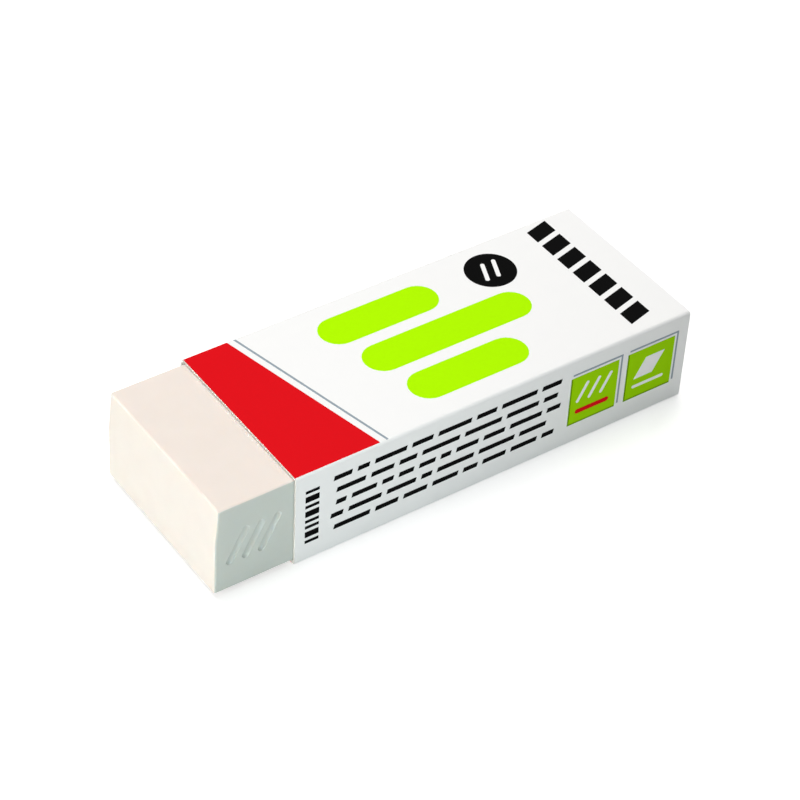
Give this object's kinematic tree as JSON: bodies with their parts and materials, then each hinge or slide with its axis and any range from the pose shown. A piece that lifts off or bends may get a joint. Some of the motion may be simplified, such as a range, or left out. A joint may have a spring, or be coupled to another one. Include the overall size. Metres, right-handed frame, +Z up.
{
  "type": "rubber eraser",
  "caption": "White vinyl block eraser that slides in a folded card sleeve, with one end bare at the sleeve's mouth.",
  "frame": {"origin": "on the surface that the eraser lies on, under the middle of its length and width", "axes": "+X along the length, away from the bare end; +Y towards the glued back panel; +Z up"},
  "size_m": [0.061, 0.0228, 0.0121],
  "materials": {
    "card": "satin",
    "vinyl": "matte",
    "ink_red": "satin",
    "ink_lime": "satin",
    "ink_green": "satin",
    "ink_black": "satin",
    "ink_grey": "satin",
    "ink_white": "satin"
  },
  "bodies": {
    "sleeve": {"card_sleeve": "card"},
    "block": {"eraser_block": "vinyl"}
  },
  "joints": [
    {"name": "block_slide", "type": "slide", "parent": "sleeve", "child": "block", "axis": [-1, 0, 0], "range_m": [-0.061, 0.0515]}
  ]
}
